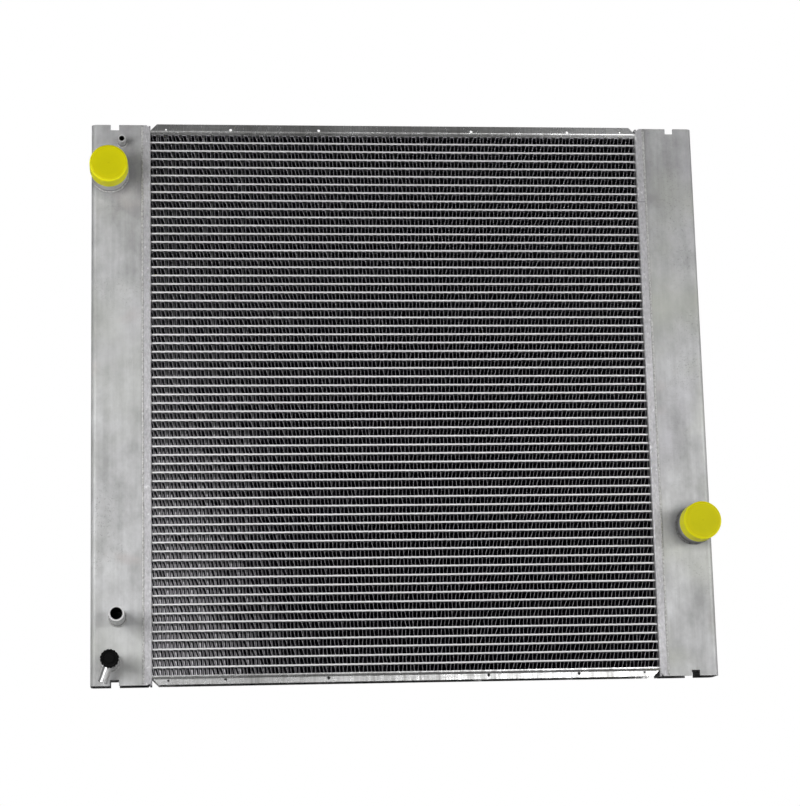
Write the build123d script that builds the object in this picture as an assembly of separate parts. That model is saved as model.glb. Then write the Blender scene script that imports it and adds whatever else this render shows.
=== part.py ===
from build123d import *
import math
import os

# Brazed aluminium cross-flow oil cooler. All sizes are millimetres.
# +X is to the right, +Z is up and the port side faces -Y. The origin is the middle of the base
# of the whole object's box, so the tanks stand on z = 0.

# Overall sizes of the two tanks and the core between them.
WIDTH = 660.0
HEIGHT = 604.0
DEPTH = 36.0
PORT_REACH = 46.0  # how far the longest spigot stands out from the tank face
FRONT_Y = (PORT_REACH - DEPTH) / 2
BACK_Y = FRONT_Y + DEPTH
MID_Y = (FRONT_Y + BACK_Y) / 2
MID_Z = HEIGHT / 2

# Tanks: C sections closed by the header plates and by plates let into both ends.
TANK_WIDTH = 54.5
TANK_WALL = 2.5
TANK_CORNER = 5.5
TANK_X = WIDTH / 2 - TANK_WIDTH  # seam between tank and header
NOTCH_X = 305.0
NOTCH_WIDTH = 9.0
NOTCH_DEPTH = 6.0
END_PLATE_INSET = 7.0
END_PLATE_THICKNESS = 3.0

# Header plates: shallow channels whose web holds the tube ends.
HEADER_WIDTH = 8.7
HEADER_WEB = 2.0
HEADER_BEND = 1.8
HEADER_CORNER_CUT = 4.0
CORE_X = TANK_X - HEADER_WIDTH  # face of the web that the fins meet

# Core: flat tubes with corrugated fins between them.
TUBE_COUNT = 62
TUBE_PITCH = 9.3
TUBE_THICKNESS = 1.9
TUBE_DEPTH = 30.0
TUBE_WALL = 0.4
TUBE_OVERHANG = 3.0  # how far a tube runs past the web into the tank
FIN_HEIGHT = TUBE_PITCH - TUBE_THICKNESS
FIN_DEPTH = 28.0
FIN_PERIOD = 20.0
FIN_GAUGE = 0.42  # thick enough that a strip has the volume of a finely folded one
BANK_COUNT = 6

# End sheets and side plates above and below the core.
SHEET_THICKNESS = 1.4
SIDE_PLATE_GAUGE = 1.5
SIDE_PLATE_DEPTH = 34.0
SIDE_PLATE_BEND = 3.0
SIDE_PLATE_CORNER_CUT = 7.0
SIDE_PLATE_INSET = 0.2  # bottom plate, short of the tank ends, so that the cooler stands on its tanks
SIDE_PLATE_RISE = 1.4  # top plate, past the tank ends
BOLT_HOLES = (-180.0, -84.0, 84.0, 191.0)
BOLT_HOLE_RADIUS = 1.6
TOOLING_HOLES = (-250.0, 250.0)
TOOLING_HOLE_RADIUS = 1.1
FLANGE_HOLE_DROP = 4.4  # hole centre to the level of the tank ends

# Hose spigots and their push-on caps.
SPIGOT_X = 310.5
INLET_Z = 547.8
OUTLET_Z = 159.7
SPIGOT_RADIUS = 19.0
SPIGOT_BORE = 17.0
SPIGOT_LENGTH = 41.5
CAP_CLEARANCE = 0.3
CAP_WALL_AT_RIM = 1.2
CAP_WALL_AT_END = 0.8
CAP_END = 2.0
CAP_RIM_HEIGHT = 23.5
CAP_EDGE = 2.5
HOSE_WELD_LEG = 1.8
SMALL_WELD_LEG = 1.2
BEAD_INSET = 0.2  # a hose bead stops this far inside the tank's outer side

# Small spigots: (x, z, collar radius, tube radius, bore radius, length).
VENT = (-297.2, 583.7, 4.7, 4.0, 2.7, 16.0)
RETURN = (-302.0, 70.0, 8.7, 8.0, 6.1, PORT_REACH)
COLLAR_HEIGHT = 2.5

# Drain cock: a boss in a welded bung, with a side spout, closed by a spindle under a round knob.
DRAIN_X = -309.0
DRAIN_Z = 24.7
BUNG_RADIUS = 9.4
BUNG_HEIGHT = 5.0
BOSS_RADIUS = 7.0
BOSS_BORE = 4.0
BOSS_LENGTH = 32.0
SEAT_RADIUS = 2.5
SEAT_HEIGHT = 8.0  # where the boss's narrow passage opens into its wide bore
SPOUT_HEIGHT = 15.0
SPOUT_RADIUS = 4.75
SPOUT_BORE = 3.2
SPOUT_END = (-316.9, 2.4)
RUNNING_GAP = 0.05
GLAND_START = 22.0  # where the full-width part of the spindle begins
SEAL_START = GLAND_START + 3.0
SEAL_WIDTH = 2.0
SPINDLE_WAIST = BOSS_BORE - 1.0
TIP_GAP = 0.1  # between the closed spindle's tip and the seat
TIP_RADIUS = SEAT_RADIUS - 0.6
TIP_TAPER = 1.6  # length of the cone behind the tip
KNOB_FACE = 45.0
KNOB_BACK = 33.0
KNOB_RIM_BACK = 36.0
KNOB_RADIUS = 9.5
KNOB_HUB_RADIUS = 6.0
KNOB_CHAMFER = 1.0
KNOB_GROOVE_TOP = (4.8, 7.6)  # inner and outer radius of the ring groove at the knob's face
KNOB_GROOVE_FLOOR = (5.2, 7.2)
KNOB_GROOVE_DEPTH = 1.6
KNOB_CENTRE_DROP = 0.4  # the middle of the face lies this far below the rim
KNOB_FLUTES = 16
FLUTE_RADIUS = 1.1
FLUTE_CIRCLE = KNOB_RADIUS + 0.55
STEM_RADIUS = 3.0
STEM_END = 42.0
STEM_END_GAP = 0.2
PAST = 1.0  # how far a cutter runs past the surface it opens


def front(height):
    """Y of a point that stands a given height in front of the tank face."""
    return FRONT_Y - height


def rod(x, z, radius, low, high):
    """Solid cylinder square to the tank face, between two heights in front of it."""
    middle = front((low + high) / 2)
    return Pos(x, middle, z) * Rot(90, 0, 0) * Cylinder(radius, high - low)


def block(x_range, y_range, z_range):
    """Box between the given limits."""
    low = (x_range[0], y_range[0], z_range[0])
    size = (x_range[1] - low[0], y_range[1] - low[1], z_range[1] - low[2])
    return Pos(*low) * Box(*size, align=(Align.MIN, Align.MIN, Align.MIN))


def turned(x, z, profile):
    """Solid of revolution about a port's axis, from (radius, height) points."""
    sketch = make_face(Polyline(*[(r, h) for r, h in profile], close=True))
    body = revolve(Plane.XZ * sketch, Axis.Z)
    return Pos(x, FRONT_Y, z) * Rot(90, 0, 0) * body


def tank_blank(side):
    """Outer shape of a tank, before it is hollowed. side is -1 on the left and 1 on the right."""
    centre_x = side * (WIDTH / 2 - TANK_WIDTH / 2)
    outline = Pos(centre_x, MID_Y) * Rectangle(TANK_WIDTH, DEPTH)
    outer = outline.vertices().sort_by(Axis.X)
    corners = outer[:2] if side < 0 else outer[-2:]
    return extrude(fillet(corners, TANK_CORNER), HEIGHT)


def tank_cavity(side):
    """Room inside a tank's walls, open towards the core."""
    width = TANK_WIDTH - TANK_WALL
    centre_x = side * (TANK_X + width / 2)
    outline = Pos(centre_x, MID_Y) * Rectangle(width, DEPTH - 2 * TANK_WALL)
    outer = outline.vertices().sort_by(Axis.X)
    corners = outer[:2] if side < 0 else outer[-2:]
    return extrude(fillet(corners, TANK_CORNER - TANK_WALL), HEIGHT)


def notches(side):
    """Slots across both ends of a tank, through its front and back walls."""
    x = side * NOTCH_X
    x_range = (x - NOTCH_WIDTH / 2, x + NOTCH_WIDTH / 2)
    y_range = (FRONT_Y - PAST, BACK_Y + PAST)
    bottom = block(x_range, y_range, (-PAST, NOTCH_DEPTH))
    top = block(x_range, y_range, (HEIGHT - NOTCH_DEPTH, HEIGHT + PAST))
    return [bottom, top]


def tank(side, ports):
    """C-section tank with end notches and a hole at each (x, z, radius) port."""
    body = tank_blank(side) - tank_cavity(side)
    for cutter in notches(side):
        body -= cutter
    for x, z, radius in ports:
        body -= rod(x, z, radius, -TANK_WALL - PAST, PAST)
    return body


def tube_levels():
    """Heights of the tubes' middles, from the bottom up."""
    lowest = MID_Z - TUBE_PITCH * (TUBE_COUNT - 1) / 2
    return [lowest + TUBE_PITCH * i for i in range(TUBE_COUNT)]


def flat_section(width, thickness):
    """Round-nosed flat section across the core, in the YZ plane."""
    return Plane.YZ * SlotOverall(width, thickness)


def header(side):
    """Channel whose web is pierced by every tube; its flanges meet the tank walls."""
    centre_x = side * (CORE_X + HEADER_WIDTH / 2)
    outline = Pos(centre_x, MID_Y) * Rectangle(HEADER_WIDTH, DEPTH)
    inner = outline.vertices().sort_by(Axis.X)
    corners = inner[-2:] if side < 0 else inner[:2]
    body = extrude(fillet(corners, HEADER_BEND), HEIGHT)
    hollow_x = sorted((side * TANK_X, side * (CORE_X + HEADER_WEB)))
    body -= block(hollow_x, (FRONT_Y + TANK_WALL, BACK_Y - TANK_WALL), (0, HEIGHT))
    face_x = side * CORE_X
    for z, up in ((0, 1), (HEIGHT, -1)):
        cut = Polyline(
            (face_x, z),
            (face_x + side * HEADER_CORNER_CUT, z),
            (face_x, z + up * HEADER_CORNER_CUT),
            close=True,
        )
        wedge = Plane.XZ * make_face(cut)
        body -= extrude(Pos(0, FRONT_Y + TANK_WALL, 0) * wedge, 2 * TANK_WALL)
        body -= extrude(Pos(0, BACK_Y + TANK_WALL, 0) * wedge, 2 * TANK_WALL)
    slot_start = Pos(face_x - HEADER_WIDTH / 2, MID_Y, 0)
    slot = extrude(slot_start * flat_section(TUBE_DEPTH, TUBE_THICKNESS), HEADER_WIDTH)
    return body - [Pos(0, 0, z) * slot for z in tube_levels()]


def end_plate(side, z):
    """Plate let into a tank's end, filling it from the outer wall to the header's web."""
    inner, outer_x = CORE_X + HEADER_WEB, WIDTH / 2 - TANK_WALL
    centre_x = side * (inner + outer_x) / 2
    outline = Pos(centre_x, MID_Y) * Rectangle(outer_x - inner, DEPTH - 2 * TANK_WALL)
    outer = outline.vertices().sort_by(Axis.X)
    corners = outer[:2] if side < 0 else outer[-2:]
    return Pos(0, 0, z) * extrude(fillet(corners, TANK_CORNER - TANK_WALL), END_PLATE_THICKNESS)


def flat_tube():
    """One hollow tube at z = 0, running from inside one tank to inside the other."""
    reach = CORE_X + HEADER_WEB + TUBE_OVERHANG
    section = flat_section(TUBE_DEPTH, TUBE_THICKNESS)
    section -= flat_section(TUBE_DEPTH - 2 * TUBE_WALL, TUBE_THICKNESS - 2 * TUBE_WALL)
    return extrude(Pos(-reach, MID_Y, 0) * section, 2 * reach)


def fin_strip():
    """One corrugated strip at z = 0, folded from wall to wall of the row it fills."""
    folds = 2 * round(2 * CORE_X / FIN_PERIOD)
    step = 2 * CORE_X / folds
    slope = math.atan2(FIN_HEIGHT, step)
    rise = FIN_GAUGE / math.cos(slope)
    lower = [(-CORE_X + step * i, (FIN_HEIGHT - rise) * (i % 2)) for i in range(folds + 1)]
    upper = [(x, z + rise) for x, z in lower]
    ribbon = Plane.XZ * make_face(Polyline(*lower, *reversed(upper), close=True))
    return extrude(Pos(0, MID_Y + FIN_DEPTH / 2, 0) * ribbon, FIN_DEPTH)


def banks(piece, levels):
    """Copies of one piece at every level, shared out over the banks from the bottom up."""
    size = math.ceil(len(levels) / BANK_COUNT)
    groups = [levels[i : i + size] for i in range(0, len(levels), size)]
    return [Compound([copy_at(piece, z) for z in group]) for group in groups]


def copy_at(piece, z):
    """Copy of a solid raised to a level."""
    return piece.moved(Location((0, 0, z))).solid()


def end_sheet(z):
    """Flat sheet brazed over the outermost fins."""
    y_range = (MID_Y - TUBE_DEPTH / 2, MID_Y + TUBE_DEPTH / 2)
    return block((-CORE_X, CORE_X), y_range, (z, z + SHEET_THICKNESS))


def side_plate(top):
    """Channel above the core, opening upwards, with its web on the end sheet."""
    web_z = tube_levels()[-1] + TUBE_THICKNESS / 2 + FIN_HEIGHT + SHEET_THICKNESS
    height = top - web_z
    section = Pos(MID_Y, web_z + height / 2) * Rectangle(SIDE_PLATE_DEPTH, height)
    section = fillet(section.vertices().sort_by(Axis.Y)[:2], SIDE_PLATE_BEND)
    room = Pos(MID_Y, web_z + SIDE_PLATE_GAUGE + height / 2) * Rectangle(
        SIDE_PLATE_DEPTH - 2 * SIDE_PLATE_GAUGE, height
    )
    room = fillet(room.vertices().sort_by(Axis.Y)[:2], SIDE_PLATE_BEND - SIDE_PLATE_GAUGE)
    body = extrude(Pos(-CORE_X, 0, 0) * (Plane.YZ * (section - room)), 2 * CORE_X)
    for side in (-1, 1):
        cut = Polyline(
            (side * CORE_X, top),
            (side * (CORE_X - SIDE_PLATE_CORNER_CUT), top),
            (side * CORE_X, top - SIDE_PLATE_CORNER_CUT),
            close=True,
        )
        body -= extrude(Pos(0, BACK_Y, 0) * (Plane.XZ * make_face(cut)), DEPTH)
    holes = [(x, BOLT_HOLE_RADIUS) for x in BOLT_HOLES]
    holes += [(x, TOOLING_HOLE_RADIUS) for x in TOOLING_HOLES]
    for x, radius in holes:
        body -= rod(x, HEIGHT - FLANGE_HOLE_DROP, radius, -DEPTH, PAST)
    return body


def hose_spigot(side, z):
    """Large tube that sits on the tank face and laps over its rounded corner."""
    x = side * SPIGOT_X
    tube = rod(x, z, SPIGOT_RADIUS, -TANK_CORNER, SPIGOT_LENGTH)
    tube -= rod(x, z, SPIGOT_BORE, -TANK_CORNER - PAST, SPIGOT_LENGTH + PAST)
    return tube - tank_blank(side)


def weld(x, z, radius):
    """Fillet bead round a tube or collar of the given radius."""
    profile = [(radius, 0), (radius + SMALL_WELD_LEG, 0), (radius, SMALL_WELD_LEG)]
    return turned(x, z, profile)


def hose_weld(side, z):
    """Bead round a large spigot, trimmed where it meets the tank's outer side."""
    outer = SPIGOT_RADIUS + HOSE_WELD_LEG
    profile = [
        (SPIGOT_RADIUS, -TANK_CORNER),
        (outer, -TANK_CORNER),
        (outer, 0),
        (SPIGOT_RADIUS, HOSE_WELD_LEG),
    ]
    bead = turned(side * SPIGOT_X, z, profile) - tank_blank(side)
    limit = WIDTH / 2 - BEAD_INSET
    y_range = (front(HOSE_WELD_LEG + PAST), BACK_Y)
    return bead & block((-limit, limit), y_range, (z - 2 * outer, z + 2 * outer))


def hose_cap(side, z):
    """Push-on plastic cap, tapered outside and rounded at its closed end."""
    inner = SPIGOT_RADIUS + CAP_CLEARANCE
    end = SPIGOT_LENGTH + CAP_END
    profile = [
        (0, SPIGOT_LENGTH),
        (inner, SPIGOT_LENGTH),
        (inner, CAP_RIM_HEIGHT),
        (inner + CAP_WALL_AT_RIM, CAP_RIM_HEIGHT),
        (inner + CAP_WALL_AT_END, end),
        (0, end),
    ]
    cap = turned(side * SPIGOT_X, z, profile)
    return fillet(cap.faces().sort_by(Axis.Y)[0].edges(), CAP_EDGE)


def small_spigot(x, z, collar, radius, bore, length):
    """Stepped tube with a collar where it is welded to the tank."""
    body = rod(x, z, collar, 0, COLLAR_HEIGHT) + rod(x, z, radius, COLLAR_HEIGHT, length)
    return body - rod(x, z, bore, -PAST, length + PAST)


def spout_axis():
    """Start, direction and length of the drain spout's axis."""
    start = Vector(DRAIN_X, front(SPOUT_HEIGHT), DRAIN_Z)
    end = Vector(SPOUT_END[0], front(SPOUT_HEIGHT), SPOUT_END[1])
    return start, (end - start).normalized(), (end - start).length


def spout_rod(radius, extra=0.0):
    """Solid cylinder along the spout's axis."""
    start, direction, length = spout_axis()
    return extrude(Plane(start, z_dir=direction) * Circle(radius), length + extra)


def drain_bung():
    """Round pad welded to the tank, which the boss is screwed into."""
    body = rod(DRAIN_X, DRAIN_Z, BUNG_RADIUS, 0, BUNG_HEIGHT)
    return body - rod(DRAIN_X, DRAIN_Z, BOSS_RADIUS, -PAST, BUNG_HEIGHT + PAST)


def drain_boss():
    """Boss with a narrow passage from the tank, a wide bore for the spindle and a side hole."""
    body = rod(DRAIN_X, DRAIN_Z, BOSS_RADIUS, 0, BOSS_LENGTH)
    body -= rod(DRAIN_X, DRAIN_Z, SEAT_RADIUS, -PAST, SEAT_HEIGHT)
    body -= rod(DRAIN_X, DRAIN_Z, BOSS_BORE, SEAT_HEIGHT, BOSS_LENGTH + PAST)
    return body - spout_rod(SPOUT_BORE)


def drain_spout():
    """Outlet tube that slants down, coped onto the boss."""
    tube = spout_rod(SPOUT_RADIUS) - spout_rod(SPOUT_BORE, PAST)
    return tube - rod(DRAIN_X, DRAIN_Z, BOSS_RADIUS, 0, BOSS_LENGTH)


def drain_spindle():
    """Valve spindle: a tapered tip at the seat, a grooved gland part and the knob's stem."""
    guided = BOSS_BORE - RUNNING_GAP
    tip = SEAT_HEIGHT + TIP_GAP
    seal_end = SEAL_START + SEAL_WIDTH
    profile = [
        (0, tip),
        (TIP_RADIUS, tip),
        (SPINDLE_WAIST, tip + TIP_TAPER),
        (SPINDLE_WAIST, GLAND_START),
        (guided, GLAND_START),
        (guided, SEAL_START),
        (SPINDLE_WAIST, SEAL_START),
        (SPINDLE_WAIST, seal_end),
        (guided, seal_end),
        (guided, BOSS_LENGTH),
        (STEM_RADIUS, BOSS_LENGTH),
        (STEM_RADIUS, STEM_END),
        (0, STEM_END),
    ]
    return turned(DRAIN_X, DRAIN_Z, profile)


def drain_seal():
    """Ring that fills the spindle's groove."""
    outer = BOSS_BORE - RUNNING_GAP
    seal_end = SEAL_START + SEAL_WIDTH
    profile = [
        (SPINDLE_WAIST, SEAL_START),
        (outer, SEAL_START),
        (outer, seal_end),
        (SPINDLE_WAIST, seal_end),
    ]
    return turned(DRAIN_X, DRAIN_Z, profile)


def drain_knob():
    """Fluted round knob with a ring-shaped groove in its face and a blind hole for the stem."""
    profile = [
        (0, KNOB_BACK),
        (KNOB_HUB_RADIUS, KNOB_BACK),
        (KNOB_HUB_RADIUS, KNOB_RIM_BACK),
        (KNOB_RADIUS, KNOB_RIM_BACK),
        (KNOB_RADIUS, KNOB_FACE - KNOB_CHAMFER),
        (KNOB_RADIUS - KNOB_CHAMFER, KNOB_FACE),
        (KNOB_GROOVE_TOP[1], KNOB_FACE),
        (KNOB_GROOVE_FLOOR[1], KNOB_FACE - KNOB_GROOVE_DEPTH),
        (KNOB_GROOVE_FLOOR[0], KNOB_FACE - KNOB_GROOVE_DEPTH),
        (KNOB_GROOVE_TOP[0], KNOB_FACE - KNOB_CENTRE_DROP),
        (0, KNOB_FACE - KNOB_CENTRE_DROP),
    ]
    knob = turned(DRAIN_X, DRAIN_Z, profile)
    hole_end = STEM_END + STEM_END_GAP
    knob -= rod(DRAIN_X, DRAIN_Z, STEM_RADIUS + RUNNING_GAP, KNOB_BACK - PAST, hole_end)
    for i in range(KNOB_FLUTES):
        angle = 2 * math.pi * i / KNOB_FLUTES
        x = DRAIN_X + FLUTE_CIRCLE * math.cos(angle)
        z = DRAIN_Z + FLUTE_CIRCLE * math.sin(angle)
        knob -= rod(x, z, FLUTE_RADIUS, KNOB_RIM_BACK - PAST, KNOB_FACE + PAST)
    return knob


def save(node, shape):
    """Write one sub-part to its own file."""
    export_step(shape, f"parts/{node}.step")


def save_tanks():
    """Tanks, headers and the plates that close the tanks' ends."""
    left_ports = [
        (-SPIGOT_X, INLET_Z, SPIGOT_BORE),
        (VENT[0], VENT[1], VENT[4]),
        (RETURN[0], RETURN[1], RETURN[4]),
        (DRAIN_X, DRAIN_Z, SEAT_RADIUS),
    ]
    right_ports = [(SPIGOT_X, OUTLET_Z, SPIGOT_BORE)]
    plate_top = HEIGHT - END_PLATE_INSET - END_PLATE_THICKNESS
    for name, side, ports in (("left", -1, left_ports), ("right", 1, right_ports)):
        save(f"{name}_tank", tank(side, ports))
        save(f"{name}_header", header(side))
        save(f"{name}_bottom_end_plate", end_plate(side, END_PLATE_INSET))
        save(f"{name}_top_end_plate", end_plate(side, plate_top))


def save_core():
    """Tube and fin banks, end sheets and side plates."""
    levels = tube_levels()
    fin_floor = TUBE_THICKNESS / 2
    fin_levels = [levels[0] - TUBE_PITCH + fin_floor] + [z + fin_floor for z in levels]
    for i, bank in enumerate(banks(flat_tube(), levels), start=1):
        save(f"tube_bank_{i}", bank)
    for i, bank in enumerate(banks(fin_strip(), fin_levels), start=1):
        save(f"fin_bank_{i}", bank)
    save("top_end_sheet", end_sheet(fin_levels[-1] + FIN_HEIGHT))
    save("bottom_end_sheet", end_sheet(fin_levels[0] - SHEET_THICKNESS))
    save("top_side_plate", side_plate(HEIGHT + SIDE_PLATE_RISE))
    bottom_plate = side_plate(HEIGHT - SIDE_PLATE_INSET)
    save("bottom_side_plate", Pos(0, 0, HEIGHT) * Rot(0, 180, 0) * bottom_plate)


def save_ports():
    """Hose spigots with their caps, the small spigots and all weld beads."""
    for name, side, z in (("inlet", -1, INLET_Z), ("outlet", 1, OUTLET_Z)):
        save(f"{name}_spigot", hose_spigot(side, z))
        save(f"{name}_weld", hose_weld(side, z))
        save(f"{name}_cap", hose_cap(side, z))
    for name, spec in (("vent", VENT), ("return", RETURN)):
        save(f"{name}_spigot", small_spigot(*spec))
        save(f"{name}_weld", weld(*spec[:3]))


def save_drain():
    """Drain cock: fixed bung, boss and spout, and the spindle, seal and knob that move."""
    save("drain_bung", drain_bung())
    save("drain_weld", weld(DRAIN_X, DRAIN_Z, BUNG_RADIUS))
    save("drain_boss", drain_boss())
    save("drain_spout", drain_spout())
    save("drain_spindle", drain_spindle())
    save("drain_seal", drain_seal())
    save("drain_knob", drain_knob())


os.makedirs("parts", exist_ok=True)
save_tanks()
save_core()
save_ports()
save_drain()
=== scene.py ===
import math
import random

import bpy
from mathutils import Matrix, Vector


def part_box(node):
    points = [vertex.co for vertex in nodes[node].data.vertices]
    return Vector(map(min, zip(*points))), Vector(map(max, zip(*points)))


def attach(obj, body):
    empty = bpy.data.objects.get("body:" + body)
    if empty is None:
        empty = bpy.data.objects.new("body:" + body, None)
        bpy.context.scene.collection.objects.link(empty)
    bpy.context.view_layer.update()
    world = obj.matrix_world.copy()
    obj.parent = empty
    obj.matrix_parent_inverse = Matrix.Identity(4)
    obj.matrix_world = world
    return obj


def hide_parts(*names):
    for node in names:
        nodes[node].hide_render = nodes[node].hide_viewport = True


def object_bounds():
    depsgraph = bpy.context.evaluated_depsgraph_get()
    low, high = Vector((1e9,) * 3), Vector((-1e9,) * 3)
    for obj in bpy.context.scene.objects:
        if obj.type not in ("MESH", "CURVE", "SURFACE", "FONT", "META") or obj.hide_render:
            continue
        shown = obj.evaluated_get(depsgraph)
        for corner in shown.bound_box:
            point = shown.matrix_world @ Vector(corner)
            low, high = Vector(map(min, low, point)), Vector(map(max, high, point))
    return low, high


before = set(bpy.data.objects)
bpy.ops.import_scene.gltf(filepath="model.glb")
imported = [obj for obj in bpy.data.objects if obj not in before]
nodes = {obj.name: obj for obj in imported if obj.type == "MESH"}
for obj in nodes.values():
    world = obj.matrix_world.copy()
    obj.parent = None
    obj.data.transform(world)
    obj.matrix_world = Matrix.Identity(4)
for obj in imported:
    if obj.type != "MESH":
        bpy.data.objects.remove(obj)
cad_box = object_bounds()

# Sizes in metres, in the part's own frame: +X right, +Y to the back, +Z up.
MM = 0.001
ROW_PITCH = 9.3 * MM
FIN_HEIGHT = 7.4 * MM
FIN_PERIOD = 8.4 * MM
FIN_GAUGE = 0.14 * MM
FIN_CREST = 3.8 * MM
FIN_TILT = 0.6 * MM  # the folds lean outwards this much towards the tanks
FULL_TILT_X = 0.12  # from the middle the lean grows up to here
FOLD_SHIFT = 0.16  # a fold's place varies by this share of a step either way
LEAN_SHIFT = 0.25 * MM
FOIL_LINE_PITCH = 1.4 * MM
FIN_EDGE = 1.5 * MM  # straight margin of a fin before its waves start
WAVE_PITCH = 5.0 * MM
WAVE_SWING = 1.5 * MM
SIDES = ("left", "right")
BANKS = range(1, 7)

header_low, header_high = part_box("right_header")
SEAM_X = header_high.x
CORE_X = header_low.x
FACE_Y = header_low.y
BACK_Y = header_high.y
TOP_Z = header_high.z
TANK_CORNER = 5.5 * MM
OUTER_MARGIN = 1.0 * MM  # the caps stand out this far past the tanks' outer sides
BIG_PORT = 15.0 * MM  # beads with a larger radius than this are round a hose port
PORT_X = 310.5 * MM
INLET_Z = 547.8 * MM
OUTLET_Z = 159.7 * MM
# Bores as (x, z, radius).
RETURN_BORE = (-302.0 * MM, 70.0 * MM, 6.1 * MM)
VENT_BORE = (-297.2 * MM, 583.7 * MM, 2.7 * MM)
BEAD_PITCH = 1.5 * MM
BEAD_SIDES = 8
SEAM_PITCH = 1.9 * MM
SEAM_END = 1.5 * MM
SEAM_HALF_WIDTH = 1.3 * MM
SEAM_HEIGHT = 0.45 * MM
SEAM_STEPS = 4  # rings per ripple
RING_STEPS = 6
TUBE_RADIUS = 0.95 * MM
TUBE_REACH = 15.0 * MM
SCRIBE_Z = 520.0 * MM  # a short scribed line across the right header
DIM_FROM_Z = 0.25
DIM_TO_Z = 0.6
MIDDLE = (0.0, 0.0, 0.302)
FLOOR_HALF = 12.0


# ---------------------------------------------------------------- materials


class Shader:
    """A Principled material, built up node by node."""

    def __init__(self, name, **sockets):
        self.material = bpy.data.materials.new(name)
        self.material.use_nodes = True
        self.tree = self.material.node_tree
        self.bsdf = self.tree.nodes["Principled BSDF"]
        for key, value in sockets.items():
            self.bsdf.inputs[key].default_value = value
        self.coords = self.add("ShaderNodeTexCoord").outputs["Object"]
        split = self.add("ShaderNodeSeparateXYZ", Vector=self.coords)
        self.x, self.y, self.z = split.outputs

    def add(self, kind, settings=None, **inputs):
        """New node with settings on it, and a value or a socket on each named input."""
        made = self.tree.nodes.new(kind)
        for key, value in (settings or {}).items():
            setattr(made, key, value)
        for key, value in inputs.items():
            self.feed(made.inputs[key], value)
        return made

    def feed(self, socket, value):
        if isinstance(value, bpy.types.NodeSocket):
            self.tree.links.new(value, socket)
        else:
            socket.default_value = value

    def math(self, operation, a, b=0.0):
        made = self.add("ShaderNodeMath", {"operation": operation})
        self.feed(made.inputs[0], a)
        self.feed(made.inputs[1], b)
        return made.outputs[0]

    def noise(self, scale, stretch=(1, 1, 1), detail=3.0, rough=0.5, offset=(0, 0, 0)):
        """Noise from 0 to 1, scale times per metre, stretched along the axes."""
        mapped = self.add("ShaderNodeMapping", Vector=self.coords, Scale=stretch, Location=offset)
        made = self.add("ShaderNodeTexNoise", Vector=mapped.outputs[0], Scale=scale, Detail=detail)
        made.inputs["Roughness"].default_value = rough
        return made.outputs[0]

    def ramp(self, value, low, high, out_low=0.0, out_high=1.0):
        """Straight line from out_low at low to out_high at high, clamped."""
        made = self.add("ShaderNodeMapRange", {"clamp": True}, Value=value)
        made.inputs["From Min"].default_value = low
        made.inputs["From Max"].default_value = high
        self.feed(made.inputs["To Min"], out_low)
        self.feed(made.inputs["To Max"], out_high)
        return made.outputs[0]

    def mix(self, factor, a, b):
        """Colour a, turning into b as the factor goes from 0 to 1."""
        made = self.add("ShaderNodeMix", {"data_type": "RGBA"})
        self.feed(made.inputs[0], factor)
        self.feed(made.inputs[6], a)
        self.feed(made.inputs[7], b)
        return made.outputs[2]

    def near(self, value, centre, width, soft):
        """1 within width of centre, falling to 0 over soft."""
        distance = self.math("ABSOLUTE", self.math("SUBTRACT", value, centre))
        return self.ramp(distance, width, width + soft, 1.0, 0.0)

    def scratches(self, scale, stretch, offset):
        """Thin broken lines, 1 on a line, running across the most stretched axis."""
        line = self.noise(scale, stretch, 1.0, 0.4, offset)
        broken = self.ramp(self.noise(25, offset=offset), 0.5, 0.6)
        return self.math("MULTIPLY", self.near(line, 0.5, 0.004, 0.006), broken)

    def seam_shade(self, colour, width, amount):
        """Darken a colour softly beside the seam between tank and header: painted shade along the
        seam.
        """
        beside = self.near(self.math("ABSOLUTE", self.x), SEAM_X, 0.2 * width, width)
        uneven = self.ramp(self.noise(120, (1, 1, 0.4)), 0.3, 0.7, 0.4, 1.0)
        dark = self.math("MULTIPLY", self.math("MULTIPLY", beside, uneven), amount)
        return self.mix(dark, colour, grey(0.12))

    def distance(self, a, b, centre_a, centre_b):
        """Distance of the point (a, b) from a centre."""
        across = self.math("POWER", self.math("SUBTRACT", a, centre_a), 2)
        along = self.math("POWER", self.math("SUBTRACT", b, centre_b), 2)
        return self.math("SQRT", self.math("ADD", across, along))

    def port_radius(self):
        """Distance from the axis of the nearer hose port."""
        right = self.math("GREATER_THAN", self.x, 0.0)
        centre_z = self.ramp(right, 0.0, 1.0, INLET_Z, OUTLET_Z)
        return self.distance(self.math("ABSOLUTE", self.x), self.z, PORT_X, centre_z)

    def dim_upwards(self, colour, least):
        """Darken a colour from mid-height to the top, where it is least times as bright.

        This stands in for light that falls off upwards; the metal itself needn't be darker there.
        """
        share = self.ramp(self.z, DIM_FROM_Z, DIM_TO_Z, 0.0, 1.0 - least)
        return self.mix(share, colour, grey(0.0))

    def set(self, key, value):
        self.feed(self.bsdf.inputs[key], value)

    def bump(self, height, distance, strength=1.0):
        made = self.add("ShaderNodeBump", Height=height, Distance=distance, Strength=strength)
        self.set("Normal", made.outputs[0])


def grey(value, warm=0.0):
    """Colour of an even grey; warm shifts it towards yellow."""
    return (value * (1 + warm * 0.5), value, value * (1 - warm), 1.0)


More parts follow.
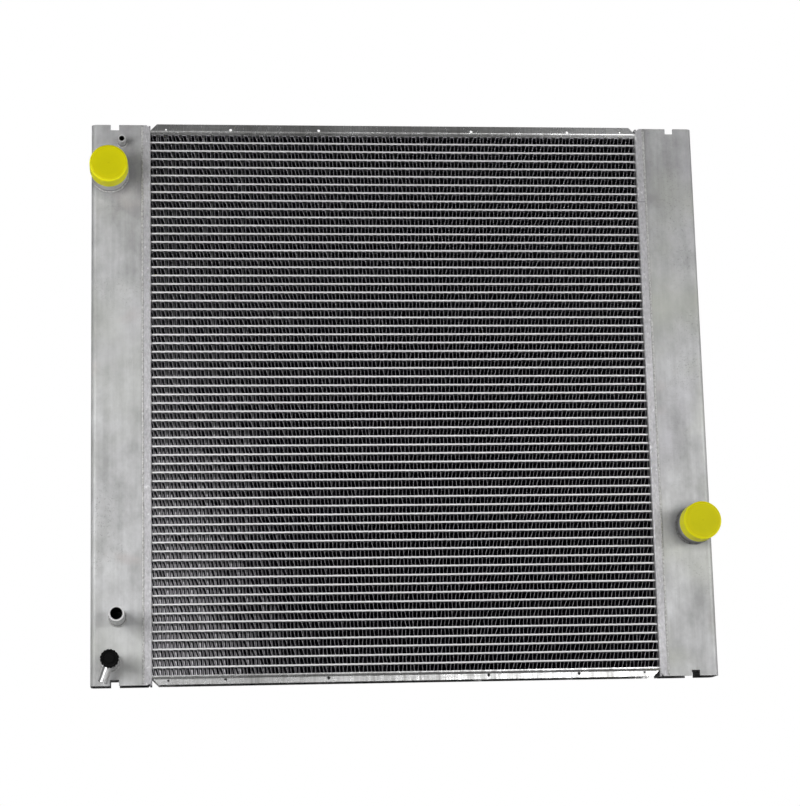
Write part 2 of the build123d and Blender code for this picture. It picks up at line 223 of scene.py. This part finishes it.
def tank_material():
    """Mill-finish sheet: soft streaks and blotches, coloured stains, pits in clusters, scratches."""
    s = Shader("tank_sheet", Metallic=0.25, Roughness=0.5)
    streak = s.noise(90, (1, 1, 0.05), 4, 0.6)
    blotch = s.noise(13, (1, 1, 0.6), 5, 0.6)
    patch = s.noise(42, (1, 1, 0.8), 5, 0.65, (3, 1, 7))
    tone = s.math("ADD", s.math("MULTIPLY", streak, 0.25), s.math("MULTIPLY", blotch, 0.4))
    tone = s.math("ADD", tone, s.math("MULTIPLY", patch, 0.35))
    colour = s.mix(s.ramp(tone, 0.40, 0.60), grey(0.36), grey(0.63, -0.01))
    most = s.ramp(s.x, -0.1, 0.1, 0.35, 0.8)
    green = s.ramp(s.noise(9, offset=(5, 2, 1)), 0.44, 0.66, 0.0, most)
    colour = s.mix(green, colour, (0.49, 0.505, 0.44, 1))
    mauve = s.ramp(s.noise(10, (1, 1, 0.6), offset=(1, 8, 4)), 0.53, 0.72, 0.0, 0.45)
    colour = s.mix(mauve, colour, (0.52, 0.50, 0.55, 1))
    pink = s.ramp(s.noise(16, (1, 1, 1.6), offset=(7, 3, 2)), 0.62, 0.78, 0.0, 0.4)
    colour = s.mix(pink, colour, (0.56, 0.49, 0.47, 1))
    cluster = s.ramp(s.noise(11, offset=(9, 9, 2)), 0.52, 0.66)
    pit = s.ramp(s.noise(520, (1, 1, 1), 3, 0.6, (2, 9, 3)), 0.58, 0.68)
    pits = s.math("MULTIPLY", cluster, pit)
    colour = s.mix(s.math("MULTIPLY", pits, 0.5), colour, grey(0.14))
    scratch = s.scratches(70, (1.0, 1.0, 14.0), (4, 1, 1))
    colour = s.mix(s.math("MULTIPLY", scratch, 0.3), colour, grey(0.22))
    rub = s.scratches(110, (8.0, 1.0, 0.35), (1, 5, 3))
    colour = s.mix(s.math("MULTIPLY", rub, 0.25), colour, grey(0.8))
    colour = s.dim_upwards(colour, 0.77)
    # Painted shade: a dark ring on the front round each hose port, where the caps and spigots shade
    # the tank. A dark ring on the front round each hose port: dirt or shade, it isn't known which.
    front = s.ramp(s.y, FACE_Y + 2 * MM, FACE_Y + 6 * MM, 0.45, 0.0)
    around = s.ramp(s.port_radius(), 20 * MM, 30 * MM, 1.0, 0.0)
    colour = s.mix(s.math("MULTIPLY", front, around), colour, grey(0.14))
    # Painted shade beside the seam between tank and header.
    s.set("Base Color", s.seam_shade(colour, 2.2 * MM, 0.35))
    s.set("Roughness", s.ramp(tone, 0.3, 0.7, 0.66, 0.48))
    fine = s.noise(700, (1, 1, 0.03), 2, 0.5)
    height = s.math("ADD", s.math("MULTIPLY", fine, 0.4), s.math("MULTIPLY", patch, 0.6))
    height = s.math("SUBTRACT", height, s.math("MULTIPLY", pits, 0.5))
    s.bump(height, 0.06 * MM)
    return s.material


def header_material():
    """Brighter brazed sheet with a grainy surface, small pale splashes and one scribed line."""
    s = Shader("header_sheet", Metallic=0.35, Roughness=0.5)
    grain = s.noise(420, (1, 1, 0.5), 4, 0.65)
    blotch = s.noise(30, (1, 1, 0.5), 4, 0.6, (4, 4, 1))
    tone = s.math("ADD", s.math("MULTIPLY", grain, 0.55), s.math("MULTIPLY", blotch, 0.45))
    colour = s.mix(s.ramp(tone, 0.35, 0.65), (0.37, 0.365, 0.38, 1), (0.66, 0.65, 0.67, 1))
    splash = s.ramp(s.noise(230, (1, 1, 0.6), 3, 0.6, (8, 1, 5)), 0.62, 0.70, 0.0, 0.6)
    colour = s.mix(splash, colour, grey(0.9))
    line = s.near(s.z, SCRIBE_Z, 0.25 * MM, 0.3 * MM)
    right = s.math("GREATER_THAN", s.x, 0.0)
    colour = s.mix(s.math("MULTIPLY", s.math("MULTIPLY", line, right), 0.75), colour, grey(0.08))
    colour = s.dim_upwards(colour, 0.85)
    # Painted shade beside the seam between header and tank.
    s.set("Base Color", s.seam_shade(colour, 1.0 * MM, 0.25))
    s.set("Roughness", s.ramp(grain, 0.3, 0.7, 0.58, 0.4))
    s.bump(tone, 0.14 * MM)
    return s.material


def plate_material():
    """Streaky brazed sheet, with the streaks across the plate.

    The top plate is painted darker at the left and paler at the right: painted shade at the left and
    a painted reflection at the right. Those two tones were set to stand in for light.
    """
    s = Shader("plate_sheet", Metallic=0.85, Roughness=0.3)
    streak = s.noise(240, (1, 1, 0.06), 4, 0.65)
    run = s.noise(22, (1, 1, 0.2), 3, 0.5, (6, 2, 2))
    tone = s.math("ADD", s.math("MULTIPLY", streak, 0.6), s.math("MULTIPLY", run, 0.4))
    colour = s.mix(s.ramp(tone, 0.36, 0.62), grey(0.38, 0.02), grey(0.82))
    smear = s.ramp(s.noise(60, (0.25, 1, 2.5), 4, 0.6, (1, 1, 4)), 0.56, 0.7, 0.0, 0.4)
    colour = s.mix(smear, colour, grey(0.24, 0.04))
    # Painted shade: the top plate darkens towards the left.
    bright = s.ramp(s.x, 0.05, 0.22, 0.68, 1.0)
    top = s.math("GREATER_THAN", s.z, 0.3)
    dull = s.math("MULTIPLY", top, s.math("SUBTRACT", 1.0, bright))
    colour = s.mix(dull, colour, grey(0.0))
    # Painted reflection: the top plate turns pale towards the right.
    pale = s.math("MULTIPLY", top, s.ramp(s.x, 0.14, 0.25, 0.0, 0.6))
    s.set("Base Color", s.mix(pale, colour, grey(0.97)))
    s.set("Roughness", s.ramp(streak, 0.3, 0.7, 0.38, 0.22))
    s.bump(tone, 0.1 * MM)
    return s.material


def depth_from_face(s, low_y, high_y):
    """How far a point lies behind the nearer of the core's two faces."""
    front = s.math("SUBTRACT", s.y, low_y)
    back = s.math("SUBTRACT", high_y, s.y)
    return s.math("MINIMUM", front, back)


def tube_material(low_y, high_y):
    """Bright round noses; the flats inside the core are painted dark, as painted shade deep in the
    core.
    """
    s = Shader("tube_metal", Metallic=0.2, Roughness=0.34)
    depth = depth_from_face(s, low_y, high_y)
    speckle = s.noise(300, (1, 1, 1), 4, 0.6)
    bright = s.mix(s.ramp(speckle, 0.35, 0.65), grey(0.92), grey(0.99))
    # Painted shade: the tube turns near black a little way in from the core's faces.
    inside = s.ramp(depth, 0.3 * MM, 0.75 * MM)
    s.set("Base Color", s.dim_upwards(s.mix(inside, bright, grey(0.05)), 0.7))
    s.bump(speckle, 0.06 * MM)
    return s.material


def fin_material(low_y, high_y):
    """Dull foil: bright at its cut edges, painted darker inwards as painted shade, with fine lines
    along the folds.

    Low on the left it is much paler. The foil isn't paler there: this stands in for light that
    shows through the fins when they are seen from the front left.
    """
    s = Shader("fin_foil", Metallic=0.2, Roughness=0.5)
    depth = depth_from_face(s, low_y, high_y)
    speckle = s.noise(500, (1, 1, 1), 3, 0.6)
    edge = s.mix(s.ramp(speckle, 0.3, 0.7), (0.60, 0.58, 0.62, 1), (0.95, 0.93, 0.97, 1))
    near = s.mix(speckle, (0.11, 0.10, 0.12, 1), (0.20, 0.19, 0.21, 1))
    left = s.ramp(s.x, -0.24, -0.13, 1.0, 0.0)
    lit = s.math("MULTIPLY", left, s.ramp(s.z, 0.12, 0.45, 1.0, 0.0))
    near = s.mix(lit, near, (0.85, 0.83, 0.87, 1))
    # Painted shade: the foil darkens, then turns near black, further in from the core's faces.
    deep = s.mix(speckle, (0.010, 0.008, 0.013, 1), (0.022, 0.018, 0.028, 1))
    colour = s.mix(s.ramp(depth, 0.25 * MM, 0.9 * MM), edge, near)
    s.set("Base Color", s.mix(s.ramp(depth, 1.5 * MM, 6.5 * MM), colour, deep))
    wave = s.math("SINE", s.math("MULTIPLY", s.y, 2 * math.pi / FOIL_LINE_PITCH))
    s.bump(wave, 0.1 * MM, 0.6)
    return s.material


def turned_material(name, tone, metallic=0.75, rough=0.3, bore=None, root_shade=6.0 * MM):
    """Bright aluminium with fine rings from turning, a few darker marks and painted shade at its root.

    A bore is (x, z, radius) of a hole along y, painted near black inside as painted shade. The last
    argument is how far the root's painted shade reaches out from the tank.
    """
    s = Shader(name, Metallic=metallic, Roughness=rough)
    rings = s.noise(900, (0.15, 1, 0.15), 3, 0.6)
    marks = s.noise(140, (1, 1, 1), 4, 0.6, (2, 2, 9))
    colour = s.mix(s.ramp(rings, 0.3, 0.7), grey(tone * 0.82), grey(tone))
    colour = s.mix(s.ramp(marks, 0.55, 0.75, 0.0, 0.5), colour, grey(tone * 0.5))
    # Painted shade: the root next to the tank is painted dark.
    root = s.ramp(s.y, FACE_Y - root_shade, FACE_Y - 0.3 * root_shade, 0.0, 0.8)
    colour = s.mix(root, colour, grey(0.07))
    # Painted shade: the inside of the bore is painted near black.
    if bore:
        x, z, radius = bore
        away = s.ramp(s.distance(s.x, s.z, x, z), radius + 0.1 * MM, radius + 0.3 * MM)
        colour = s.mix(away, grey(0.01), colour)
    s.set("Base Color", colour)
    s.set("Roughness", s.ramp(marks, 0.3, 0.7, rough, rough + 0.18))
    s.bump(rings, 0.03 * MM)
    return s.material


def weld_material(name, low, high):
    """Weld bead: uneven tone between two greys."""
    s = Shader(name, Metallic=0.35, Roughness=0.5)
    lumps = s.noise(500, (1, 1, 1), 4, 0.6)
    s.set("Base Color", s.mix(s.ramp(lumps, 0.35, 0.65), grey(low, 0.03), grey(high, 0.01)))
    s.bump(lumps, 0.15 * MM)
    return s.material


def cap_material():
    """Soft yellow plastic: slightly cloudy face with a faint ring and gate mark.
    The side wall is painted bright, a painted glow; the face is painted paler towards its rim, a
    painted highlight.
    """
    s = Shader("cap_plastic", Roughness=0.45)
    s.set("Subsurface Weight", 0.25)
    s.set("Subsurface Radius", (3 * MM, 2.5 * MM, 0.3 * MM))
    s.set("Subsurface Scale", 1.0)
    s.set("Specular IOR Level", 0.12)
    radius = s.port_radius()
    cloud = s.noise(60, (1, 1, 1), 3, 0.5)
    colour = s.mix(cloud, (0.52, 0.485, 0.001, 1), (0.61, 0.57, 0.002, 1))
    # Painted highlight: the face turns paler towards its rounded rim.
    colour = s.mix(s.ramp(radius, 12 * MM, 19 * MM, 0.0, 0.5), colour, (0.68, 0.61, 0.002, 1))
    # Painted glow: the side wall is painted bright yellow.
    wall = s.ramp(radius, 18.6 * MM, 19.6 * MM)
    colour = s.mix(wall, colour, (0.98, 0.92, 0.012, 1))
    ring = s.near(radius, 16.5 * MM, 0.2 * MM, 0.3 * MM)
    gate = s.ramp(radius, 0.8 * MM, 1.3 * MM, 1.0, 0.0)
    marks = s.math("MAXIMUM", s.math("MULTIPLY", ring, 0.25), s.math("MULTIPLY", gate, 0.4))
    s.set("Base Color", s.mix(marks, colour, (0.46, 0.43, 0.002, 1)))
    s.set("Roughness", s.ramp(s.noise(400, detail=4), 0.3, 0.7, 0.4, 0.52))
    height = s.math("ADD", s.math("MULTIPLY", s.noise(900, detail=2), 0.4), marks)
    s.bump(height, 0.05 * MM)
    return s.material


def knob_material():
    """Black moulded plastic with a fine satin texture."""
    s = Shader("knob_plastic", Roughness=0.5)
    s.set("Specular IOR Level", 0.05)
    grain = s.noise(1600, detail=2)
    s.set("Base Color", s.mix(s.noise(120), grey(0.002), grey(0.008)))
    s.set("Roughness", s.ramp(grain, 0.3, 0.7, 0.38, 0.55))
    s.bump(grain, 0.03 * MM)
    return s.material


def rubber_material():
    """Dull black rubber."""
    s = Shader("seal_rubber", Roughness=0.7)
    grain = s.noise(1500, detail=2)
    s.set("Base Color", s.mix(grain, grey(0.015), grey(0.035)))
    s.bump(grain, 0.03 * MM)
    return s.material


def dress(names, material):
    """Give CAD nodes a material."""
    for name in names:
        mesh = nodes[name].data
        mesh.materials.clear()
        mesh.materials.append(material)


# ---------------------------------------------------------------- meshes


def make_piece(name, points, faces, material, smooth=False):
    """Mesh object from points and faces."""
    mesh = bpy.data.meshes.new(name)
    mesh.from_pydata(points, [], faces)
    mesh.materials.append(material)
    if smooth:
        mesh.polygons.foreach_set("use_smooth", [True] * len(mesh.polygons))
    mesh.update()
    made = bpy.data.objects.new(name, mesh)
    bpy.context.scene.collection.objects.link(made)
    return made


def fold_line(low_x, high_x, rng):
    """(x, up, slant) points of one strip: flat-topped folds whose spacing varies a little.

    slant is 1 beside a rising leg and -1 beside a falling one.
    """
    folds = 2 * round((high_x - low_x) / FIN_PERIOD)
    step = (high_x - low_x) / folds
    line = []
    for i in range(folds + 1):
        shift = 0.0 if i in (0, folds) else rng.uniform(-FOLD_SHIFT, FOLD_SHIFT) * step
        middle = low_x + step * i + shift
        up = i % 2
        if i > 0:
            line.append((middle - FIN_CREST / 2, up, 1 if up else -1))
        if i < folds:
            line.append((middle + FIN_CREST / 2, up, -1 if up else 1))
    return line


def fin_stations(low_y, high_y):
    """(y, swing) across a strip: straight margins, and sharp waves to either side between them."""
    first, last = low_y + FIN_EDGE, high_y - FIN_EDGE
    waves = round((last - first) / WAVE_PITCH)
    stations = [(low_y, 0.0), (first, 0.0)]
    for i in range(1, waves):
        swing = WAVE_SWING if i % 2 else -WAVE_SWING
        stations.append((first + (last - first) * i / waves, swing))
    return stations + [(last, 0.0), (high_y, 0.0)]


def fin_strip(floor, low, high, rng):
    """Points and faces of one wavy strip that stands on a given level."""
    stations = fin_stations(low.y, high.y)
    line = fold_line(low.x, high.x, rng)
    points, faces = [], []
    for x, up, slant in line:
        lean = rng.uniform(-LEAN_SHIFT, LEAN_SHIFT)
        tilt = FIN_TILT * min(max(x / FULL_TILT_X, -1.0), 1.0) * (1 if up else -1)
        top = floor + (FIN_HEIGHT if up else FIN_GAUGE)
        for y, swing in stations:
            along = (y - low.y) / (high.y - low.y)
            upper_x = x + tilt + swing + lean * (1 - 2 * along)
            for place in ((upper_x + 0.8 * slant * FIN_GAUGE, top - FIN_GAUGE), (upper_x, top)):
                points.append((min(max(place[0], low.x), high.x), y, place[1]))
    row = 2 * len(stations)
    for i in range(len(line) - 1):
        a = row * i
        b = a + row
        for j in range(0, row - 2, 2):
            faces.append((a + j, a + j + 2, b + j + 2, b + j))
            faces.append((a + j + 1, b + j + 1, b + j + 3, a + j + 3))
        faces.append((a, b, b + 1, a + 1))
        faces.append((a + row - 2, a + row - 1, b + row - 1, b + row - 2))
    end = row * (len(line) - 1)
    for j in range(0, row - 2, 2):
        faces.append((j, j + 1, j + 3, j + 2))
        faces.append((end + j, end + j + 2, end + j + 3, end + j + 1))
    return points, faces


def fin_bank(index, material):
    """Finely folded strips that stand for one bank of coarse ones."""
    low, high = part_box(f"fin_bank_{index}")
    rows = round((high.z - low.z - FIN_HEIGHT) / ROW_PITCH) + 1
    rng = random.Random(index)
    points, faces = [], []
    for row in range(rows):
        strip_points, strip_faces = fin_strip(low.z + ROW_PITCH * row, low, high, rng)
        first = len(points)
        points += strip_points
        faces += [tuple(first + corner for corner in face) for face in strip_faces]
    made = make_piece(f"fins_{index}", points, faces, material)
    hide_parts(f"fin_bank_{index}")
    finish_piece(made)


def finish_piece(made):
    """Attach a piece of the cooler itself to the cooler's body."""
    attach(made, "cooler")


def tube_mesh(rings, closed):
    """Faces that join rings of equal point counts; closed joins the last ring to the first."""
    count = len(rings[0])
    points = [point for ring in rings for point in ring]
    faces = []
    for i in range(len(rings) if closed else len(rings) - 1):
        a = count * i
        b = count * ((i + 1) % len(rings))
        for j in range(count):
            k = (j + 1) % count
            faces.append((a + j, a + k, b + k, b + j))
    if not closed:
        faces.append(tuple(range(count))[::-1])
        faces.append(tuple(count * (len(rings) - 1) + j for j in range(count)))
    return points, faces


def tank_face_y(x):
    """Y of a tank's front at a given x, with its rounded outer corner."""
    into = abs(x) - (cad_box[1].x - OUTER_MARGIN - TANK_CORNER)
    if into <= 0:
        return FACE_Y
    into = min(into, TANK_CORNER)
    return FACE_Y + TANK_CORNER - math.sqrt(TANK_CORNER**2 - into**2)


def ripple(position, seed):
    """How full a weld bead is at a point along it, in ripple counts."""
    wave = abs(math.sin(math.pi * position))
    wander = math.sin(position * 0.37 + seed) + math.sin(position * 0.83 + 2 * seed)
    return 0.84 + 0.16 * wave + 0.05 * wander


def ring_bead(name, node, radius, thick, material):
    """Rippled weld bead round a port, in place of the plain one."""
    low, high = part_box(node)
    centre_x, centre_z = (low.x + high.x) / 2, (low.z + high.z) / 2
    if radius > BIG_PORT:
        centre_x = math.copysign(PORT_X, centre_x)
    limit = cad_box[1].x - OUTER_MARGIN - 0.2 * MM
    ripples = round(2 * math.pi * radius / BEAD_PITCH)
    steps = RING_STEPS * ripples
    rings = []
    for i in range(steps):
        turn = 2 * math.pi * i / steps
        full = thick * ripple(ripples * i / steps, radius * 1000)
        ring = []
        for j in range(BEAD_SIDES):
            around = 2 * math.pi * j / BEAD_SIDES
            out = radius + full * math.cos(around)
            x = centre_x + out * math.cos(turn)
            x = max(-limit, min(limit, x))
            base = tank_face_y(x)
            z = centre_z + out * math.sin(turn)
            ring.append((x, base - full * math.sin(around), z))
        rings.append(ring)
    points, faces = tube_mesh(rings, True)
    made = make_piece(name, points, faces, material, smooth=True)
    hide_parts(node)
    finish_piece(made)


def seam_bead(name, x, material):
    """Long low bead that joins a header plate to its tank in front, with fine ripples."""
    length = TOP_Z - 2 * SEAM_END
    ripples = round(length / SEAM_PITCH)
    rings = []
    steps = SEAM_STEPS * ripples
    for i in range(steps + 1):
        full = ripple(i / SEAM_STEPS, x * 100)
        if i in (0, steps):
            full *= 0.4
        z = SEAM_END + length * i / steps
        ring = []
        for j in range(BEAD_SIDES):
            around = 2 * math.pi * j / BEAD_SIDES
            across = SEAM_HALF_WIDTH * full * math.cos(around)
            up = SEAM_HEIGHT * full * math.sin(around)
            ring.append((x + across, FACE_Y - up, z))
        rings.append(ring)
    points, faces = tube_mesh(rings, False)
    finish_piece(make_piece(name, points, faces, material, smooth=True))


def flat_ring(x, z, grow):
    """Round-nosed outline of a tube at a given x, made larger all round."""
    middle_y = (FACE_Y + BACK_Y) / 2
    radius = TUBE_RADIUS + grow
    reach = TUBE_REACH - TUBE_RADIUS
    points = []
    for end in (-1, 1):
        for i in range(5):
            turn = math.pi * (i / 4 - 0.5)
            y = middle_y + end * (reach + radius * math.cos(turn))
            points.append((x, y, z + end * radius * math.sin(turn)))
    return points


def braze_fillets(side, material):
    """Small fillets where the tubes enter one header plate."""
    sign = -1 if side == "left" else 1
    low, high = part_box("tube_bank_1")
    first = low.z + TUBE_RADIUS
    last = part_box("tube_bank_6")[1].z - TUBE_RADIUS
    rows = round((last - first) / ROW_PITCH) + 1
    rng = random.Random(7 + sign)
    points, faces = [], []
    for row in range(rows):
        z = first + ROW_PITCH * row
        size = rng.uniform(0.5, 0.9) * MM
        rings = [
            flat_ring(sign * (CORE_X + 0.2 * MM), z, size),
            flat_ring(sign * CORE_X, z, size),
            flat_ring(sign * (CORE_X - 0.35 * size), z, 0.4 * size),
            flat_ring(sign * (CORE_X - 1.4 * size), z, 0.03 * MM),
        ]
        more, joined = tube_mesh(rings, False)
        start = len(points)
        points += more
        if sign > 0:
            joined = [face[::-1] for face in joined]
        faces += [tuple(start + corner for corner in face) for face in joined]
    made = make_piece(f"{side}_braze", points, faces, material)
    finish_piece(made)


# ---------------------------------------------------------------- scene


def dress_nodes():
    """Give every CAD node that stays its material."""
    tube_low, tube_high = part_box("tube_bank_1")
    tank = tank_material()
    dress([f"{side}_tank" for side in SIDES], tank)
    dress([f"{side}_{end}_end_plate" for side in SIDES for end in ("bottom", "top")], tank)
    dress([f"{side}_header" for side in SIDES], header_material())
    dress([f"tube_bank_{i}" for i in BANKS], tube_material(tube_low.y, tube_high.y))
    plate = plate_material()
    dress(["top_end_sheet", "bottom_end_sheet", "top_side_plate", "bottom_side_plate"], plate)
    dress(["inlet_spigot"], turned_material("inlet_metal", 0.72, 0.5, 0.36))
    # Painted shade on the outlet's root reaches 22 mm out from the tank.
    dress(["outlet_spigot"], turned_material("outlet_metal", 0.6, 0.5, 0.4, root_shade=22 * MM))
    for port, bore in (("return", RETURN_BORE), ("vent", VENT_BORE)):
        dress([f"{port}_spigot"], turned_material(f"{port}_metal", 0.66, 0.5, 0.36, bore))
    dress(["drain_bung", "drain_boss", "drain_spout"], turned_material("drain_metal", 0.6, 0.75, 0.3))
    dress(["drain_spindle"], turned_material("spindle_metal", 0.6, 0.95))
    dress(["inlet_cap", "outlet_cap"], cap_material())
    dress(["drain_knob"], knob_material())
    dress(["drain_seal"], rubber_material())


def add_pieces():
    """The pieces that stand for, or add to, the CAD nodes."""
    fin_low, fin_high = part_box("fin_bank_1")
    fins = fin_material(fin_low.y, fin_high.y)
    for index in BANKS:
        fin_bank(index, fins)
    weld = weld_material("weld_metal", 0.30, 0.56)
    # Painted shade: the weld round the outlet is painted darker.
    shaded_weld = weld_material("shaded_weld", 0.08, 0.26)
    for port, radius, thick in (
        ("inlet", 19.0, 1.7),
        ("outlet", 19.0, 1.7),
        ("return", 8.7, 1.3),
        ("vent", 4.7, 1.1),
        ("drain", 9.4, 1.2),
    ):
        metal = shaded_weld if port == "outlet" else weld
        ring_bead(f"{port}_bead", f"{port}_weld", radius * MM, thick * MM, metal)
    for side, x in zip(SIDES, (-SEAM_X, SEAM_X)):
        seam_bead(f"{side}_seam", x, weld)
        braze_fillets(side, weld)


def add_camera():
    """Long-lens camera below and to the left of the middle, looking slightly up."""
    data = bpy.data.cameras.new("camera")
    data.lens = 98.04
    data.sensor_width = 36.0
    data.sensor_fit = "AUTO"
    data.clip_end = 100.0
    camera = bpy.data.objects.new("camera", data)
    forward = Vector((0.10085, 0.97562, 0.1949)).normalized()
    right = Vector((0.99489, -0.09791, -0.02471))
    right = (right - forward * right.dot(forward)).normalized()
    up = right.cross(forward)
    turn = Matrix((right, up, -forward)).transposed().to_4x4()
    camera.matrix_world = Matrix.Translation((-0.2391, -2.2849, -0.1621)) @ turn
    bpy.context.scene.collection.objects.link(camera)
    bpy.context.scene.camera = camera


def add_area(name, place, target, size, power):
    """Rectangular area light aimed at a point; size is its width and height."""
    data = bpy.data.lights.new(name, "AREA")
    data.shape = "RECTANGLE"
    data.size, data.size_y = size
    data.energy = power
    light = bpy.data.objects.new(name, data)
    light.location = place
    direction = Vector(target) - Vector(place)
    light.rotation_euler = direction.to_track_quat("-Z", "Y").to_euler()
    bpy.context.scene.collection.objects.link(light)


def front_only(tree, shader):
    """Show a shader on the front of a face and leave the back clear."""
    clear = tree.nodes.new("ShaderNodeBsdfTransparent")
    geometry = tree.nodes.new("ShaderNodeNewGeometry")
    mix = tree.nodes.new("ShaderNodeMixShader")
    tree.links.new(geometry.outputs["Backfacing"], mix.inputs[0])
    tree.links.new(shader.outputs[0], mix.inputs[1])
    tree.links.new(clear.outputs[0], mix.inputs[2])
    tree.links.new(mix.outputs[0], tree.nodes["Material Output"].inputs["Surface"])


def add_lights():
    """Key and fills in front of the object, and one large light behind it."""
    add_area("key", (-1.2, -1.35, 0.35), MIDDLE, (0.7, 0.7), 17.5)
    add_area("left_fill", (-0.75, -1.9, -0.05), (-0.25, 0.0, 0.15), (0.7, 0.5), 4.0)
    add_area("side_fill", (1.5, -1.0, 0.35), MIDDLE, (0.5, 0.5), 10.5)
    add_area("low_fill", (0.8, -2.1, 0.2), (0.2, 0.0, 0.1), (1.0, 0.4), 6.5)
    add_area("back_fill", (0.9, 2.4, 1.4), MIDDLE, (1.6, 1.6), 30.0)


def add_floor():
    """Pale floor just under the tanks, seen only from above; it glows a little to the camera."""
    signs = ((-1, -1), (1, -1), (1, 1), (-1, 1))
    material = bpy.data.materials.new("floor_paint")
    material.use_nodes = True
    tree = material.node_tree
    paint = tree.nodes["Principled BSDF"]
    paint.inputs["Base Color"].default_value = (0.86, 0.86, 0.86, 1)
    paint.inputs["Roughness"].default_value = 0.8
    paint.inputs["Emission Color"].default_value = (0.45, 0.45, 0.45, 1)
    path = tree.nodes.new("ShaderNodeLightPath")
    tree.links.new(path.outputs["Is Camera Ray"], paint.inputs["Emission Strength"])
    front_only(tree, paint)
    points = [(FLOOR_HALF * x, FLOOR_HALF * y, -0.5 * MM) for x, y in signs]
    make_piece("floor", points, [(0, 1, 2, 3)], material)


def add_card():
    """Glowing grey card close behind the core, seen through the fins and only from the front.

    It is painted shade behind the core. Only the camera sees it. It hides the white surroundings, and
    it is painted lighter low on the left, as painted light seen through the fins.
    """
    fin_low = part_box("fin_bank_1")[0]
    fin_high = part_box("fin_bank_6")[1]
    y = BACK_Y - 2.0 * MM
    s = Shader("shade_card")
    left = s.ramp(s.x, -0.2, -0.09, 1.0, 0.0)
    low = s.ramp(s.z, 0.2, 0.55, 1.0, 0.4)
    light = s.math("MULTIPLY", left, low)
    colour = s.mix(light, (0.06, 0.055, 0.065, 1), (0.50, 0.49, 0.51, 1))
    glow = s.add("ShaderNodeEmission", Color=colour)
    s.tree.nodes.remove(s.bsdf)
    front_only(s.tree, glow)
    points = [
        (fin_low.x, y, fin_low.z),
        (fin_high.x, y, fin_low.z),
        (fin_high.x, y, fin_high.z),
        (fin_low.x, y, fin_high.z),
    ]
    card = make_piece("card", points, [(0, 1, 2, 3)], s.material)
    card.visible_diffuse = False
    card.visible_glossy = False
    card.visible_transmission = False
    card.visible_shadow = False


def add_world():
    """White surroundings; as a light they are dimmer, and darker from high in front."""
    world = bpy.data.worlds.new("studio")
    bpy.context.scene.world = world
    world.use_nodes = True
    tree = world.node_tree
    seen = tree.nodes["Background"]
    seen.inputs["Color"].default_value = (1, 1, 1, 1)
    seen.inputs["Strength"].default_value = 1.0
    coords = tree.nodes.new("ShaderNodeTexCoord")
    split = tree.nodes.new("ShaderNodeSeparateXYZ")
    tree.links.new(coords.outputs["Generated"], split.inputs[0])
    fade = tree.nodes.new("ShaderNodeMapRange")
    fade.inputs["From Min"].default_value = 0.03
    fade.inputs["From Max"].default_value = 0.38
    fade.inputs["To Min"].default_value = 0.28
    fade.inputs["To Max"].default_value = 0.02
    tree.links.new(split.outputs["Z"], fade.inputs["Value"])
    fill = tree.nodes.new("ShaderNodeBackground")
    fill.inputs["Color"].default_value = (0.97, 0.985, 1.0, 1)
    tree.links.new(fade.outputs[0], fill.inputs["Strength"])
    path = tree.nodes.new("ShaderNodeLightPath")
    mix = tree.nodes.new("ShaderNodeMixShader")
    tree.links.new(path.outputs["Is Camera Ray"], mix.inputs[0])
    tree.links.new(fill.outputs[0], mix.inputs[1])
    tree.links.new(seen.outputs[0], mix.inputs[2])
    tree.links.new(mix.outputs[0], tree.nodes["World Output"].inputs["Surface"])


scene = bpy.context.scene
scene.view_settings.view_transform = "Standard"
scene.view_settings.look = "None"
add_camera()
dress_nodes()
add_pieces()
add_lights()
add_floor()
add_card()
add_world()
